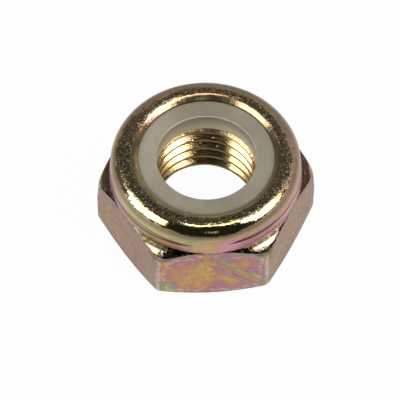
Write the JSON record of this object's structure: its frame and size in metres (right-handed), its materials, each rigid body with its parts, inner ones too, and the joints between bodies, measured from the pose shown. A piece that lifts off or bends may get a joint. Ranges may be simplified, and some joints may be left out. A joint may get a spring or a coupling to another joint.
{
  "type": "nylon insert lock nut",
  "caption": "Hexagon lock nut with a round rolled collar that holds a nylon ring over a fine metric thread, yellow passivated zinc on steel.",
  "frame": {"origin": "on the thread's axis, in the plane of the bearing face", "axes": "+Z along the thread's axis, from the bearing face to the collar; X through two opposite corners of the hexagon, Y square to two opposite flats"},
  "size_m": [0.0194, 0.017, 0.0098],
  "materials": {
    "zinc_steel": "steel with bright yellow passivated zinc plating, gold with pink and green tints, polished on the lip, satin on the flats",
    "nylon": "natural nylon, slightly see-through, satin"
  },
  "bodies": {
    "root": {"nut_body": "zinc_steel", "nylon_insert": "nylon"}
  },
  "joints": []
}
